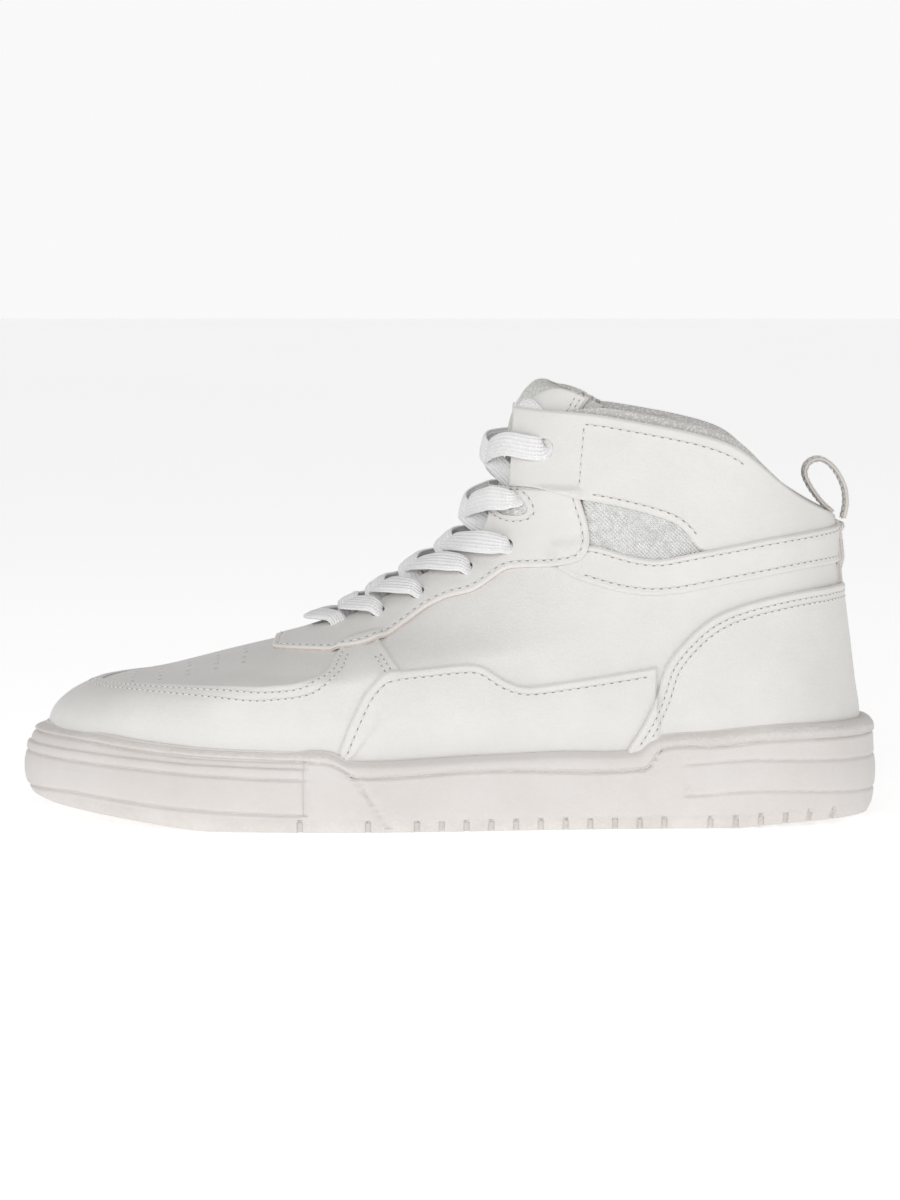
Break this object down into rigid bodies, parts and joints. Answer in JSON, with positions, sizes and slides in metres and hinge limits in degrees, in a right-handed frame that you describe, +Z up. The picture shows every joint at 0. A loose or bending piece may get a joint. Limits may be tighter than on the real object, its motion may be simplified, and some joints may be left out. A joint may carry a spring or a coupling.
{
  "type": "basketball high top sneaker",
  "caption": "Laced white leather high top shoe for the left foot, with rubber cupsole, padded tongue, slotted ankle strap and heel pull loop.",
  "frame": {"origin": "on the ground, under the middle of the sole's length and width", "axes": "+X from toe to heel, +Y towards the inner (medial) side of the foot, +Z up"},
  "size_m": [0.306, 0.112, 0.159],
  "materials": {
    "sole_rubber": "matte, fine leathery texture",
    "midsole_foam": "matte foam",
    "board": "pressed fibre",
    "liner_textile": "brushed textile",
    "stiffener": "matte",
    "white_leather": "fine grain, satin",
    "mesh": "woven",
    "tongue_mesh": "spacer mesh",
    "foam": "open cell foam",
    "lace_knit": "flat knit",
    "aglet_plastic": "glossy"
  },
  "bodies": {
    "shoe": {"outsole": "sole_rubber", "midsole": "midsole_foam", "insole_board": "board", "heel_counter": "stiffener", "toe_puff": "stiffener", "vamp": "white_leather", "vamp_lining": "liner_textile", "toe_guard": "white_leather", "quarter_lateral": "white_leather", "quarter_medial": "white_leather", "side_overlay_lateral": "white_leather", "side_overlay_medial": "white_leather", "heel_overlay": "white_leather", "eyestay": "white_leather", "ankle_mesh_lateral": "mesh", "ankle_mesh_medial": "mesh", "ankle_band_lateral": "white_leather", "ankle_band_medial": "white_leather", "collar_panel_lateral": "white_leather", "collar_panel_medial": "white_leather", "collar_foam": "foam", "collar_lining": "liner_textile", "heel_strip": "white_leather", "lace": "lace_knit", "aglets": "aglet_plastic"},
    "tongue": {"tongue_face": "tongue_mesh", "tongue_foam": "foam", "tongue_lining": "liner_textile", "tongue_patch": "white_leather", "tongue_label": "lace_knit"},
    "loop": {"pull_loop": "white_leather"},
    "footbed": {"sock_liner": "liner_textile"}
  },
  "joints": [
    {"name": "tongue_tilt", "type": "hinge", "parent": "shoe", "child": "tongue", "pos_m": [-0.05, 0, 0.064], "axis": [0, 1, 0], "range_deg": [0, 8], "stiffness_Nm_per_rad": 0.6},
    {"name": "loop_fold", "type": "hinge", "parent": "shoe", "child": "loop", "pos_m": [0.1412, 0, 0.1073], "axis": [0, 1, 0], "range_deg": [-25, 35], "stiffness_Nm_per_rad": 0.02},
    {"name": "footbed_lift", "type": "hinge", "parent": "shoe", "child": "footbed", "pos_m": [-0.136, 0, 0.0245], "axis": [0, -1, 0], "range_deg": [0, 5]}
  ]
}
